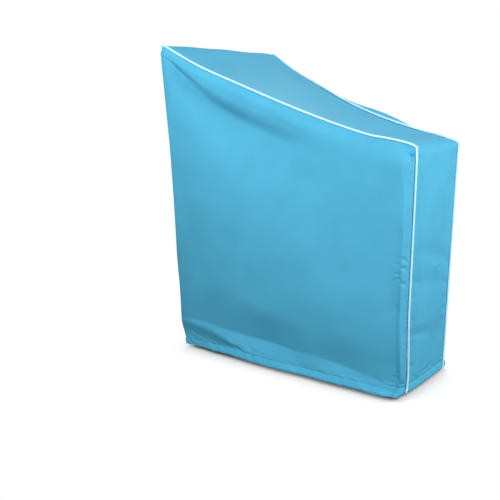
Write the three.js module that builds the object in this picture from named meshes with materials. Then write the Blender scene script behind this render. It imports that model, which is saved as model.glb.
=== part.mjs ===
// A fitted cloth cover for an exercise bike, in the shape in which it hangs over one.
// Two side panels are joined by one gusset strip, which runs up the low saddle end, along the
// sloping top and down the tall handlebar end. A piping cord lies in each of the two long seams.
// Lengths are in millimetres and +Z is up. +X points to the low end and -Y to the near side.
// The cover is worked out from its hem plane (z = 0) and the low end's seam (x = 0), and the last
// group moves it so that the origin lies under the top, where the handlebar carries the cloth.
import * as THREE from 'three';

// Driving dimensions
const SHEET = 2;            // thickness of the cloth as built
const HEM_HEIGHT = 38;      // depth of the turned and stitched hem
const HEM_EXTRA = 0.6;      // how much thicker the cloth is over that hem
const TALL_X = -1053;       // top corner of the tall end
const TALL_HEM_X = -1062;   // the tall end's seams at the hem
const SHOULDER_OUT_X = 8;   // how far the panels stand out past the top corner of the tall end
const TALL_CORNER_X = -1058; // the upright corners of the tall end, at the hem
const TALL_ROUND = 22;      // how far their rounding reaches along the side
const TALL_ROUND_BACK = 6;  // and along the tall end
const LOW_SEAM_X = -4;      // the low end's seams
const LOW_ROUND = 36;       // height over which they round the low end's top corner
const LOW_ROUND_X = 6;      // how far they draw in there
const CORD_RADIUS = 3.75;   // piping
const CORD_SIDES = 8;
const GAP = 0.52;           // clearance between sewn pieces
const EDGE_SET_BACK = 1.45; // distance from a seam line to the edge of each cloth
const CARRIED_AT_X = -1000; // where the handlebar carries the top

// The sloping top, from the tall end to the low end: height of the seams above the hem plane and
// half the width of the strip between them
const TOP = [
  { x: -1053, height: 1318, half: 393 },
  { x: -900, height: 1238, half: 357 },
  { x: -720, height: 1160, half: 310 },
  { x: -540, height: 1086, half: 263 },
  { x: -360, height: 1024, half: 241 },
  { x: -180, height: 974, half: 233 },
  { x: -110, height: 962, half: 218 },
  { x: -55, height: 950, half: 199 },
  { x: -22, height: 942, half: 196 },
  { x: 0, height: 931, half: 196 },
];

// Where each panel turns over to its top seam: how far its shoulder stands out past the seam, how
// far it lies below it, and how high the cloth crests above the seam on the way
const NEAR_SHOULDER = [
  { x: -1053, out: 10, drop: 26, crest: 0 },
  { x: -900, out: 14, drop: 30, crest: 0 },
  { x: -720, out: 19, drop: 34, crest: 0 },
  { x: -540, out: 27, drop: 38, crest: 0 },
  { x: -360, out: 34, drop: 42, crest: 0 },
  { x: -180, out: 36, drop: 42, crest: 0 },
  { x: -110, out: 48, drop: 42, crest: 0 },
  { x: -55, out: 67, drop: 42, crest: 0 },
  { x: 0, out: 70, drop: 40, crest: 0 },
];
const FAR_SHOULDER = [
  { x: -1053, out: 10, drop: 26, crest: 0 },
  { x: -900, out: 16, drop: 30, crest: 1 },
  { x: -720, out: 27, drop: 34, crest: 7 },
  { x: -540, out: 40, drop: 36, crest: 19 },
  { x: -360, out: 46, drop: 38, crest: 22 },
  { x: -180, out: 44, drop: 40, crest: 15 },
  { x: -110, out: 46, drop: 40, crest: 9 },
  { x: -55, out: 40, drop: 40, crest: 4 },
  { x: 0, out: 34, drop: 38, crest: 0 },
];

// The strip between its seams: how much it rounds off the low corner and the tall edge and over
// what distance, how far it bulges out of the low end, and how far it sags under the slope
const LOW_CORNER = { cut: 17, reach: 48 };
const TALL_EDGE = { cut: 9, reach: 26 };
const LOW_BULGE = { hem: 7, above: 3, height: 600 };
const SAG = { depth: 7, reach: 120 };

// A bulge of the tall end's corners: its depth, where it is full and where it has ended
const TALL_BULGE = { depth: 15, full: 110, fades: 260, ends: 950, reach: 160, onSeam: 0.7 };

// How far the hem of a side panel hangs below the hem plane
const HEM_DROPS = [
  { x: -1062, drop: 1 },
  { x: -900, drop: 0 },
  { x: -800, drop: -2 },
  { x: -690, drop: 3 },
  { x: -560, drop: 7 },
  { x: -430, drop: 6 },
  { x: -270, drop: 4 },
  { x: -150, drop: 9 },
  { x: -60, drop: 13 },
  { x: 0, drop: 6 },
];
const END_HEM_DROP = 10;    // and of the strip, halfway across the low end
const HEM_DROP_HEIGHT = 400; // the cloth hangs evenly above this

// The two sides. Half widths are measured from the middle plane; the low crease is the upright
// fold where a panel turns on to the low end, a little before its seam
const NEAR = {
  sign: -1, hemHalf: 267, creaseX: -13, creaseRound: 7,
  lowSeamHem: 196, lowSeamTop: 196, lowPinch: 0, tallSeamHem: 196, shoulder: NEAR_SHOULDER,
};
const FAR = {
  sign: 1, hemHalf: 240, creaseX: -42, creaseRound: 22,
  lowSeamHem: 172, lowSeamTop: 196, lowPinch: 33, tallSeamHem: 180, shoulder: FAR_SHOULDER,
};

// Folds of the cloth, each along a bowed line between two places (a, z) on a face. `in0`, `inMid`
// and `in1` are the depths at its start, middle and end, and a negative depth is a ridge. `left0`
// to `right1` are the widths of its two slopes, seen along the line
const NEAR_FOLDS = [
  // drag line down from the tall top corner
  { a0: -1046, z0: 1286, a1: -250, z1: 905, bow: -92, in0: 6, inMid: 21, in1: 2,
    left0: 12, left1: 44, right0: 44, right1: 140 },
  // long valley above the hem, which ends in the low corner
  { a0: -1010, z0: 140, a1: -30, z1: 6, bow: 14, in0: 15, inMid: 30, in1: 12,
    left0: 210, left1: 130, right0: 26, right1: 46 },
  // short roll under that valley at the tall end
  { a0: -1010, z0: 112, a1: -640, z1: 14, bow: 0, in0: -7, inMid: -10, in1: -3,
    left0: 24, left1: 30, right0: 30, right1: 24 },
  // upright trough beside the low crease
  { a0: -44, z0: 30, a1: -40, z1: 900, bow: 0, in0: 10, inMid: 9, in1: 4,
    left0: 60, left1: 46, right0: 16, right1: 14 },
  // broad billow of the whole panel
  { a0: -930, z0: 640, a1: -130, z1: 520, bow: 0, in0: -6, inMid: -16, in1: -5,
    left0: 330, left1: 300, right0: 330, right1: 300 },
];
const FAR_FOLDS = [
  { a0: -1040, z0: 1270, a1: -330, z1: 890, bow: -70, in0: 3, inMid: 11, in1: 2,
    left0: 16, left1: 50, right0: 60, right1: 140 },
  { a0: -960, z0: 120, a1: -90, z1: 70, bow: 20, in0: 8, inMid: 20, in1: 6,
    left0: 210, left1: 160, right0: 30, right1: 44 },
  { a0: -930, z0: 600, a1: -130, z1: 560, bow: 0, in0: -5, inMid: -14, in1: -5,
    left0: 330, left1: 300, right0: 330, right1: 300 },
];
const LOW_END_FOLDS = [
  { a0: -120, z0: 585, a1: 196, z1: 470, bow: 0, in0: 2, inMid: 8, in1: 6,
    left0: 34, left1: 34, right0: 30, right1: 30 },
  { a0: -196, z0: 436, a1: 190, z1: 380, bow: 8, in0: 3, inMid: 8, in1: 6,
    left0: 46, left1: 40, right0: 26, right1: 26 },
  { a0: -196, z0: 150, a1: 180, z1: 190, bow: 0, in0: 4, inMid: 7, in1: 3,
    left0: 90, left1: 90, right0: 70, right1: 70 },
];
const TALL_END_FOLDS = [
  { a0: -330, z0: 1260, a1: 60, z1: 560, bow: 30, in0: 3, inMid: 12, in1: 3,
    left0: 60, left1: 90, right0: 60, right1: 90 },
  { a0: 330, z0: 1230, a1: 30, z1: 700, bow: -30, in0: 3, inMid: 10, in1: 3,
    left0: 60, left1: 80, right0: 60, right1: 80 },
  { a0: -200, z0: 130, a1: 190, z1: 110, bow: 10, in0: 6, inMid: 14, in1: 6,
    left0: 150, left1: 150, right0: 40, right1: 40 },
];

// Grid sizes
const BAND_COLUMNS = 3;     // between a seam and the corner next to it
const CORNER_COLUMNS = 3;   // round each corner
const SIDE_COLUMNS = 26;    // along a side
const MAIN_ROWS = 20;       // from the hem to the shoulder
const ROLL_ROWS = 4;        // from the shoulder to the top seam
const STRIP_COLUMNS = 10;   // across the strip
const ROW_CROWDING = 0.085; // above 0, rows lie closer together at the hem and the shoulder

// How far the cloth turns over between a shoulder and its seam
const ROLL_TURN = THREE.MathUtils.degToRad(68);

// Where the columns at a panel's corners meet the top seam
const SEAM_AT = { tallBand: -1044, tallCorner: -1031, lowCorner: -96, lowBand: -52 };

// Over what distance folds die out towards the panels' edges, and how much is left at the shoulder
const CALM = { tall: 70, crease: 6, shoulder: 0.45 };

const CLOTH = new THREE.MeshStandardMaterial({ color: 0x58b4dc, roughness: 0.72, metalness: 0 });
const CORD = new THREE.MeshStandardMaterial({ color: 0xdff6fa, roughness: 0.6, metalness: 0 });

const { lerp, clamp, smoothstep } = THREE.MathUtils;

// A smooth curve through one column of a table that is sorted by x
function through(rows, key) {
  const slope = (i) => {
    const before = rows[Math.max(i - 1, 0)];
    const after = rows[Math.min(i + 1, rows.length - 1)];
    return (after[key] - before[key]) / (after.x - before.x);
  };
  return (x) => {
    let i = 0;
    while (i < rows.length - 2 && x > rows[i + 1].x) i += 1;
    const [low, high] = [rows[i], rows[i + 1]];
    const step = high.x - low.x;
    const t = clamp((x - low.x) / step, 0, 1);
    const bend = t * t * (3 - 2 * t);
    return low[key] * (1 - bend) + high[key] * bend
      + slope(i) * step * t * (1 - t) ** 2 - slope(i + 1) * step * t * t * (1 - t);
  };
}

const topHeight = through(TOP, 'height');
const topHalf = through(TOP, 'half');

// Depth of all folds of a face at one place on it
function depth(folds, a, z) {
  let sum = 0;
  for (const fold of folds) {
    const length = Math.hypot(fold.a1 - fold.a0, fold.z1 - fold.z0);
    const along = [(fold.a1 - fold.a0) / length, (fold.z1 - fold.z0) / length];
    const from = [a - fold.a0, z - fold.z0];
    const s = (from[0] * along[0] + from[1] * along[1]) / length;
    const t = clamp(s, 0, 1);
    const side = from[1] * along[0] - from[0] * along[1] - 4 * fold.bow * t * (1 - t);
    const width = side > 0 ? lerp(fold.left0, fold.left1, t) : lerp(fold.right0, fold.right1, t);
    const deep = t < 0.5
      ? lerp(fold.in0, fold.inMid, smoothstep(t, 0, 0.5))
      : lerp(fold.inMid, fold.in1, smoothstep(t, 0.5, 1));
    const past = (s - t) * length;
    sum += deep * Math.exp(-((side / width) ** 2) - (past / (0.6 * width)) ** 2);
  }
  return sum;
}

const sideHemDrop = through(HEM_DROPS, 'drop');
const hangs = (z) => (1 - clamp(z / HEM_DROP_HEIGHT, 0, 1)) ** 4;

// The tall end's corners bulge a little above the hem
function tallBulge(z) {
  const { depth: deep, full, fades, ends } = TALL_BULGE;
  return deep * smoothstep(z, 0, full) * (1 - smoothstep(z, fades, ends));
}

// Seams up the two ends, at height z
function lowSeam(side, z) {
  const top = topHeight(0);
  const share = clamp(z / top, 0, 1);
  const pinch = side.lowPinch * Math.sin(Math.PI * share) ** 2;
  const x = LOW_SEAM_X - LOW_ROUND_X * smoothstep(z, top - LOW_ROUND, top) ** 2;
  const y = lerp(side.lowSeamHem, side.lowSeamTop, share) - pinch;
  return new THREE.Vector3(x, side.sign * y, z);
}
function tallSeam(side, z) {
  const share = clamp(z / topHeight(TALL_X), 0, 1);
  const x = lerp(TALL_HEM_X, TALL_X, share) - TALL_BULGE.onSeam * tallBulge(z);
  const y = lerp(side.tallSeamHem, topHalf(TALL_X), share);
  return new THREE.Vector3(x, side.sign * y, z);
}

// Columns of a side panel, from the tall seam round two corners to the low seam
function zoneColumns(zone, steps) {
  return Array.from({ length: steps }, (_, i) => ({ zone, t: i / steps }));
}
const COLUMNS = [
  ...zoneColumns('tallBand', BAND_COLUMNS),
  ...zoneColumns('tallCorner', CORNER_COLUMNS),
  ...zoneColumns('side', SIDE_COLUMNS),
  ...zoneColumns('lowCorner', CORNER_COLUMNS),
  ...zoneColumns('lowBand', BAND_COLUMNS),
  { zone: 'lowBand', t: 1 },
];

// A corner's plan: a quadratic curve between the places where its two edges leave it
function rounded(before, corner, after, t) {
  return [0, 1].map((k) => (1 - t) ** 2 * before[k] + 2 * t * (1 - t) * corner[k] + t * t * after[k]);
}
const between = (p, q, t) => [lerp(p[0], q[0], t), lerp(p[1], q[1], t)];
function toward(p, q, distance) {
  return between(p, q, distance / Math.hypot(q[0] - p[0], q[1] - p[1]));
}

// Plan of a side panel at the hem or at its shoulder: x and half width for one column
function plan(column, ends, halfAt) {
  const { tallSeamAt, tallCorner, lowCorner, lowSeamAt, lowRound } = ends;
  const leaveTall = tallCorner[0] + TALL_ROUND;
  const meetLow = lowCorner[0] - lowRound;
  const tallMeet = toward(tallCorner, tallSeamAt, TALL_ROUND_BACK);
  const lowLeave = toward(lowCorner, lowSeamAt, lowRound);
  const sideStart = [leaveTall, halfAt(leaveTall)];
  const sideEnd = [meetLow, halfAt(meetLow)];
  if (column.zone === 'tallBand') return between(tallSeamAt, tallMeet, column.t);
  if (column.zone === 'tallCorner') return rounded(tallMeet, tallCorner, sideStart, column.t);
  if (column.zone === 'side') {
    const x = lerp(leaveTall, meetLow, column.t);
    return [x, halfAt(x)];
  }
  if (column.zone === 'lowCorner') return rounded(sideEnd, lowCorner, lowLeave, column.t);
  return between(lowLeave, lowSeamAt, column.t);
}

// Where one column of a side panel meets the top seam
function topSeamX(column) {
  const { tallBand, tallCorner, lowCorner, lowBand } = SEAM_AT;
  if (column.zone === 'tallBand') return lerp(TALL_X, tallBand, column.t);
  if (column.zone === 'tallCorner') return lerp(tallBand, tallCorner, column.t);
  if (column.zone === 'side') return lerp(tallCorner, lowCorner, column.t);
  if (column.zone === 'lowCorner') return lerp(lowCorner, lowBand, column.t);
  return lerp(lowBand, LOW_SEAM_X - LOW_ROUND_X, column.t ** 0.8);
}
function topSeam(side, x) {
  return new THREE.Vector3(x, side.sign * topHalf(x), topHeight(x));
}

// Middle surface of a side panel as a grid, column by column from the hem to the top seam
function sidePanelGrid(side, folds) {
  const out = through(side.shoulder, 'out');
  const drop = through(side.shoulder, 'drop');
  const crest = through(side.shoulder, 'crest');
  const shoulderHalf = (x) => topHalf(x) + out(x);
  const hemEnds = {
    tallSeamAt: [TALL_HEM_X, side.tallSeamHem],
    tallCorner: [TALL_CORNER_X, side.hemHalf],
    lowCorner: [side.creaseX, side.hemHalf],
    lowSeamAt: [LOW_SEAM_X, side.lowSeamHem],
    lowRound: side.creaseRound,
  };
  const lowTop = lowSeam(side, topHeight(0) - drop(0));
  const tallTop = tallSeam(side, topHeight(TALL_X) - drop(TALL_X));
  const shoulderEnds = {
    tallSeamAt: [tallTop.x, Math.abs(tallTop.y)],
    tallCorner: [TALL_X - SHOULDER_OUT_X, shoulderHalf(TALL_X)],
    lowCorner: [side.creaseX, Math.min(side.hemHalf, shoulderHalf(side.creaseX))],
    lowSeamAt: [lowTop.x, Math.abs(lowTop.y)],
    lowRound: side.creaseRound,
  };
  return COLUMNS.map((column) => {
    const hem = plan(column, hemEnds, () => side.hemHalf);
    const shoulder = plan(column, shoulderEnds, shoulderHalf);
    const seam = topSeam(side, topSeamX(column));
    const shoulderZ = seam.z - drop(seam.x);
    const points = [];
    for (let j = 0; j <= MAIN_ROWS; j += 1) {
      const share = j / MAIN_ROWS;
      const v = share - ROW_CROWDING * Math.sin(2 * Math.PI * share);
      const [x, half] = between(hem, shoulder, v);
      const z = v * shoulderZ - hangs(v * shoulderZ) * sideHemDrop(x);
      const fromTall = smoothstep(x, TALL_HEM_X, TALL_HEM_X + CALM.tall);
      const fromCrease = 1 - smoothstep(x, side.creaseX - CALM.crease, 0);
      const fromShoulder = lerp(1, CALM.shoulder, smoothstep(v, 0.9, 1));
      const y = half - fromTall * fromCrease * fromShoulder * depth(folds, x, z);
      const bulge = tallBulge(z) * (1 - smoothstep(x, TALL_HEM_X, TALL_HEM_X + TALL_BULGE.reach));
      points.push(new THREE.Vector3(x - bulge, side.sign * y, z));
    }
    const start = points[MAIN_ROWS];
    for (let j = 1; j <= ROLL_ROWS; j += 1) {
      const turn = (j / ROLL_ROWS) * ROLL_TURN;
      const inward = (1 - Math.cos(turn)) / (1 - Math.cos(ROLL_TURN));
      const upward = Math.sin(turn) / Math.sin(ROLL_TURN);
      const bump = crest(seam.x) * Math.sin(Math.PI * (j / ROLL_ROWS) ** 1.4);
      const height = lerp(start.z, seam.z, upward) + bump;
      points.push(start.clone().lerp(seam, inward).setZ(height));
    }
    return points;
  });
}

// The seam of a side, from the hem of the low end over the top to the hem of the tall end
function seamLine(grid) {
  const last = grid.length - 1;
  const rows = grid[0].length - 1;
  const up = grid[last].map((point) => point.clone());
  const over = grid.slice(1, last).map((column) => column[rows].clone()).reverse();
  const down = grid[0].map((point) => point.clone()).reverse();
  return [...up, ...over, ...down];
}

// How far the strip lies outside the straight line between its seams, at a point of that line
function stripOut(point, outward, across) {
  const middle = Math.sin(Math.PI * across) ** 0.8;
  const fromCorner = Math.hypot(point.x, point.z - topHeight(0));
  const fromEdge = Math.hypot(point.x - TALL_X, point.z - topHeight(TALL_X));
  const cut = LOW_CORNER.cut * Math.exp(-((fromCorner / LOW_CORNER.reach) ** 2))
    + TALL_EDGE.cut * Math.exp(-((fromEdge / TALL_EDGE.reach) ** 2));
  if (outward.x > 0.8) {
    const bulge = lerp(LOW_BULGE.hem, LOW_BULGE.above, clamp(point.z / LOW_BULGE.height, 0, 1));
    return middle * (bulge - cut - depth(LOW_END_FOLDS, point.y, point.z));
  }
  if (outward.x < -0.8) return -middle * (cut + depth(TALL_END_FOLDS, point.y, point.z));
  const away = (distance) => 1 - Math.exp(-((distance / SAG.reach) ** 2));
  return -middle * (cut + SAG.depth * away(fromCorner) * away(fromEdge));
}

// Middle surface of the strip, row by row along the seams and from the near to the far side
function stripGrid(nearSeam, farSeam) {
  return nearSeam.map((near, i) => {
    const before = nearSeam[Math.max(i - 1, 0)];
    const after = nearSeam[Math.min(i + 1, nearSeam.length - 1)];
    const outward = new THREE.Vector3(after.z - before.z, 0, before.x - after.x).normalize();
    const lowEnd = outward.x > 0.8;
    return Array.from({ length: STRIP_COLUMNS + 1 }, (_, k) => {
      const across = k / STRIP_COLUMNS;
      const point = near.clone().lerp(farSeam[i], across);
      const out = stripOut(point, outward, across);
      if (lowEnd) point.z -= hangs(point.z) * END_HEM_DROP * Math.sin(Math.PI * across);
      return point.addScaledVector(outward, out);
    });
  });
}

// Pulls the outer points of a grid back from the seams that they meet
function setBack(grid, edges) {
  const [last, end] = [grid.length - 1, grid[0].length - 1];
  const moved = grid.map((line) => line.map((point) => point.clone()));
  const pull = (i, j, inI, inJ) => {
    const inner = grid[inI][inJ].clone().sub(grid[i][j]);
    const corner = i !== inI && j !== inJ;
    moved[i][j].addScaledVector(inner.normalize(), EDGE_SET_BACK * (corner ? Math.SQRT2 : 1));
  };
  for (let i = 0; i <= last; i += 1) {
    for (let j = 0; j <= end; j += 1) {
      const inI = edges.first && i === 0 ? 1 : edges.last && i === last ? last - 1 : i;
      const inJ = edges.start && j === 0 ? 1 : edges.end && j === end ? end - 1 : j;
      if (inI !== i || inJ !== j) pull(i, j, inI, inJ);
    }
  }
  return moved;
}

// Normals of a grid of points, turned to the outside of the cover
function gridNormals(grid, facing) {
  const [last, end] = [grid.length - 1, grid[0].length - 1];
  return grid.map((line, i) => line.map((_, j) => {
    const alongI = grid[Math.min(i + 1, last)][j].clone().sub(grid[Math.max(i - 1, 0)][j]);
    const alongJ = grid[i][Math.min(j + 1, end)].clone().sub(grid[i][Math.max(j - 1, 0)]);
    return alongI.cross(alongJ).normalize().multiplyScalar(facing);
  }));
}

// Outer and inner faces of a cloth
function faces(grid, facing) {
  const normals = gridNormals(grid, facing);
  const half = (point) => SHEET / 2 + (point.z < HEM_HEIGHT ? HEM_EXTRA / 2 : 0);
  const offset = (way) => grid.map((line, i) => line.map((point, j) => (
    point.clone().addScaledVector(normals[i][j], way * half(point)))));
  return { outer: offset(1), inner: offset(-1), normals };
}

// A closed cloth from its two faces
function clothGeometry({ outer, inner }, facing) {
  const [last, end] = [outer.length - 1, outer[0].length - 1];
  const perLine = end + 1;
  const positions = [...outer.flat(), ...inner.flat()].flatMap((point) => point.toArray());
  const index = [];
  const innerStart = perLine * (last + 1);
  const at = (i, j) => i * perLine + j;
  const quad = (a, b, c, d) => {
    if (facing > 0) index.push(a, b, c, a, c, d);
    else index.push(a, c, b, a, d, c);
  };
  for (let i = 0; i < last; i += 1) {
    for (let j = 0; j < end; j += 1) {
      const [a, b, c, d] = [at(i, j), at(i + 1, j), at(i + 1, j + 1), at(i, j + 1)];
      quad(a, b, c, d);
      quad(innerStart + a, innerStart + d, innerStart + c, innerStart + b);
    }
  }
  const rim = (a, b) => quad(a, innerStart + a, innerStart + b, b);
  for (let i = 0; i < last; i += 1) {
    rim(at(i, 0), at(i + 1, 0));
    rim(at(i + 1, end), at(i, end));
  }
  for (let j = 0; j < end; j += 1) {
    rim(at(last, j), at(last, j + 1));
    rim(at(0, j + 1), at(0, j));
  }
  const geometry = new THREE.BufferGeometry();
  geometry.setAttribute('position', new THREE.Float32BufferAttribute(positions, 3));
  geometry.setIndex(index);
  geometry.computeVertexNormals();
  return geometry;
}

// Distance from a point to a short line of points
function distanceTo(line, point) {
  const closest = new THREE.Vector3();
  const distances = line.slice(1).map((end, k) => {
    new THREE.Line3(line[k], end).closestPointToPoint(point, true, closest);
    return closest.distanceTo(point);
  });
  return Math.min(...distances);
}

// The cord's middle line: as deep in the groove between two cloths as its gap to both allows
function cordLine(seam, groove) {
  const clear = CORD_RADIUS + GAP;
  const grooves = seam.map((_, i) => groove(i));
  const about = (i, reach) => grooves.slice(Math.max(i - reach, 0), i + reach + 1);
  const outwards = seam.map((_, i) => {
    const sum = new THREE.Vector3();
    about(i, 2).forEach(({ outward }) => sum.add(outward));
    return sum.normalize();
  });
  return seam.map((point, i) => {
    const lines = about(i, 1).flatMap((one) => one.lines);
    let [low, high] = [0, 4 * clear];
    for (let round = 0; round < 24; round += 1) {
      const middle = (low + high) / 2;
      const place = point.clone().addScaledVector(outwards[i], middle);
      if (Math.min(...lines.map((line) => distanceTo(line, place))) < clear) low = middle;
      else high = middle;
    }
    return point.clone().addScaledVector(outwards[i], high);
  });
}

// A closed cord of round section along a line of points
function cordGeometry(line) {
  const positions = [];
  const index = [];
  const last = line.length - 1;
  let across = new THREE.Vector3(0, 1, 0);
  line.forEach((point, i) => {
    const tangent = line[Math.min(i + 1, last)].clone().sub(line[Math.max(i - 1, 0)]).normalize();
    across = across.clone().addScaledVector(tangent, -across.dot(tangent)).normalize();
    const up = tangent.clone().cross(across);
    for (let k = 0; k < CORD_SIDES; k += 1) {
      const angle = (2 * Math.PI * k) / CORD_SIDES;
      const rim = point.clone()
        .addScaledVector(across, CORD_RADIUS * Math.cos(angle))
        .addScaledVector(up, CORD_RADIUS * Math.sin(angle));
      positions.push(...rim.toArray());
    }
  });
  const at = (i, k) => i * CORD_SIDES + (k % CORD_SIDES);
  for (let i = 0; i < last; i += 1) {
    for (let k = 0; k < CORD_SIDES; k += 1) {
      index.push(at(i, k), at(i, k + 1), at(i + 1, k + 1), at(i, k), at(i + 1, k + 1), at(i + 1, k));
    }
  }
  for (let k = 1; k < CORD_SIDES - 1; k += 1) {
    index.push(at(0, 0), at(0, k + 1), at(0, k));
    index.push(at(last, 0), at(last, k), at(last, k + 1));
  }
  const geometry = new THREE.BufferGeometry();
  geometry.setAttribute('position', new THREE.Float32BufferAttribute(positions, 3));
  geometry.setIndex(index);
  geometry.computeVertexNormals();
  return geometry;
}

function piece(name, geometry, material) {
  const mesh = new THREE.Mesh(geometry, material.clone());
  mesh.name = name;
  return mesh;
}

// The two cloths that meet at a seam, as short lines that lead away from it on their outer faces
function grooveBetween(panel, strip, stripFromEnd) {
  const [last, rows] = [panel.outer.length - 1, panel.outer[0].length - 1];
  return (i) => {
    const onUp = i <= rows;
    const onTop = i > rows && i < rows + last;
    const column = onUp ? last : onTop ? last - (i - rows) : 0;
    const row = onUp ? i : onTop ? rows : 2 * rows + last - i;
    const stepIn = [onUp ? -1 : onTop ? 0 : 1, onTop ? -1 : 0];
    const panelLine = [0, 1, 2].map((k) => panel.outer[column + k * stepIn[0]][row + k * stepIn[1]]);
    const stripLine = [0, 1, 2].map((k) => strip.outer[i][stripFromEnd ? STRIP_COLUMNS - k : k]);
    const normal = panel.normals[column][row].clone()
      .add(strip.normals[i][stripFromEnd ? STRIP_COLUMNS : 0]);
    return { outward: normal.normalize(), lines: [panelLine, stripLine] };
  };
}

const nearGrid = sidePanelGrid(NEAR, NEAR_FOLDS);
const farGrid = sidePanelGrid(FAR, FAR_FOLDS);
const nearSeam = seamLine(nearGrid);
const farSeam = seamLine(farGrid);
const middleGrid = stripGrid(nearSeam, farSeam);

const panelEdges = { first: true, last: true, end: true };
const near = faces(setBack(nearGrid, panelEdges), 1);
const far = faces(setBack(farGrid, panelEdges), -1);
const strip = faces(setBack(middleGrid, { start: true, end: true }), -1);
const nearCord = cordLine(nearSeam, grooveBetween(near, strip, false));
const farCord = cordLine(farSeam, grooveBetween(far, strip, true));

const cover = new THREE.Group();
cover.add(
  piece('side_panel_near', clothGeometry(near, 1), CLOTH),
  piece('side_panel_far', clothGeometry(far, -1), CLOTH),
  piece('gusset_strip', clothGeometry(strip, -1), CLOTH),
  piece('piping_near', cordGeometry(nearCord), CORD),
  piece('piping_far', cordGeometry(farCord), CORD),
);
cover.position.set(-CARRIED_AT_X, 0, -(topHeight(CARRIED_AT_X) - SHEET / 2));

const exerciseBikeCover = new THREE.Group();
exerciseBikeCover.add(cover);

export default exerciseBikeCover;
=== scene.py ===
# The looks of an exercise bike cover: a fitted cloth cover, open below.
# The cloths, the piping and the stitches are worked out in the cover's own coordinates, in
# millimetres: x = 0 at the low end's seam, z = 0 at the hem plane, -y the near side. to_frame()
# turns them into the frame's metres, with the origin under the top.
import math

import bpy
import numpy as np
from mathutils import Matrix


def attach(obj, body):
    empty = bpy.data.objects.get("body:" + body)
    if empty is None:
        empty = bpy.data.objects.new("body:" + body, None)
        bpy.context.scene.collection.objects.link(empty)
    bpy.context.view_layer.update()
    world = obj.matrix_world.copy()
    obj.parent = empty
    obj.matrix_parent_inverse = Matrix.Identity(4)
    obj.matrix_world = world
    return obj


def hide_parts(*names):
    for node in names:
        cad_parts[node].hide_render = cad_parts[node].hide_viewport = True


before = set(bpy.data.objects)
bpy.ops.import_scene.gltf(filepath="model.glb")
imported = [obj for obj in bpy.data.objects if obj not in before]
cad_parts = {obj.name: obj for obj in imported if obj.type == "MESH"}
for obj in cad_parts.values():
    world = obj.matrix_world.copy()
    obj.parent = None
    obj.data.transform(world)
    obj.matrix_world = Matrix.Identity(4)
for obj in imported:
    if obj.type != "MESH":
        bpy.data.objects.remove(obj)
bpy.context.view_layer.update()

rng = np.random.default_rng(7)


def table(columns, *rows):
    """A short table with named columns, each column as an array."""
    return dict(zip(columns.split(), np.array(rows, float).T))


def smoothstep(x, low, high):
    t = np.clip((x - low) / (high - low), 0, 1)
    return t * t * (3 - 2 * t)


def lerp(a, b, t):
    return a + (b - a) * t


def unit(vectors):
    return vectors / np.linalg.norm(vectors, axis=-1, keepdims=True)


def through(rows, key):
    """A smooth curve through one column of a table that is sorted by x."""
    xs, values = rows["x"], rows[key]
    last = len(xs) - 1
    at = np.arange(last + 1)
    before, after = np.maximum(at - 1, 0), np.minimum(at + 1, last)
    slopes = (values[after] - values[before]) / (xs[after] - xs[before])

    def curve(x):
        i = np.clip(np.searchsorted(xs, x) - 1, 0, last - 1)
        step = xs[i + 1] - xs[i]
        t = np.clip((x - xs[i]) / step, 0, 1)
        bend = smoothstep(t, 0, 1)
        flat = values[i] * (1 - bend) + values[i + 1] * bend
        return flat + slopes[i] * step * t * (1 - t) ** 2 - slopes[i + 1] * step * t * t * (1 - t)

    return curve


def crowded(t, by):
    """Shares of a width, moved closer together towards both ends."""
    return t - by * np.sin(2 * math.pi * t)


def soft(r):
    """A bell, 1 at r = 0. As the profile of a fold's slope it is rounded at both ends."""
    return np.exp(-r * r)


EVEN_REACH = 1.6


def even(r):
    """Profile of a slope that starts sharply and straight, and ends softly at EVEN_REACH."""
    r = np.clip(r / EVEN_REACH, 0, 1)
    return np.where(r < 0.6, 1 - 1.25 * r, 1.5625 * (1 - r) ** 2)


def ledge(r):
    """Profile of a slope that starts softly at the line and ends sharply at r = 1."""
    return np.where(r < 1, 1 - even(EVEN_REACH * (1 - r)), 0)


# Driving dimensions in mm, close to those of the frame's solids
SHEET = 2.0
TALL_X = -1053.0
TALL_HEM_X = -1062.0
TALL_CORNER_X = -1058.0
TALL_ROUND = 22.0
TALL_ROUND_BACK = 6.0
SHOULDER_OUT_X = 8.0
LOW_SEAM_X = -4.0
LOW_ROUND = 12.0
LOW_ROUND_X = -3.0
CARRIED_AT = (-1000.0, 0.0, 1288.707)
CORD_RADIUS = 4.1
CORD_GAP = 0.2
EDGE_SET_BACK = 1.9

# The cloth as it shows: thinner than the solids, and doubled over at the hem up to its stitches
CLOTH = 0.9
HEM_HEIGHT = 28.0
HEM_EXTRA = 0.9
HEM_THINS = (4.0, 1.0)

# Top of the strip: height and half width. Shoulder of a side panel: how far it stands out from
# the top seam and lies below it, and how high its crest rises between the two. Hem of a side
# panel: how far it hangs below its plane; the low end's hem lies higher in its middle.
TOP = table(
    "x height half",
    (-1053, 1322, 393),
    (-900, 1238, 357),
    (-720, 1160, 310),
    (-540, 1086, 263),
    (-360, 1024, 241),
    (-180, 974, 233),
    (-110, 962, 218),
    (-55, 950, 199),
    (-22, 942, 196),
    (0, 933, 196),
)
NEAR_SHOULDER = table(
    "x out drop crest",
    (-1053, 10, 26, 0),
    (-900, 14, 36, 0),
    (-720, 19, 46, 0),
    (-540, 27, 60, 0),
    (-360, 34, 84, 0),
    (-180, 36, 104, 0),
    (-110, 48, 98, 0),
    (-55, 67, 78, 0),
    (0, 70, 56, 0),
)
FAR_SHOULDER = table(
    "x out drop crest",
    (-1053, 10, 26, 0),
    (-900, 16, 30, 1),
    (-720, 27, 34, 7),
    (-540, 40, 36, 17),
    (-360, 46, 38, 29),
    (-180, 44, 40, 4),
    (-110, 46, 40, 0),
    (-55, 40, 40, 0),
    (0, 34, 38, 0),
)
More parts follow.
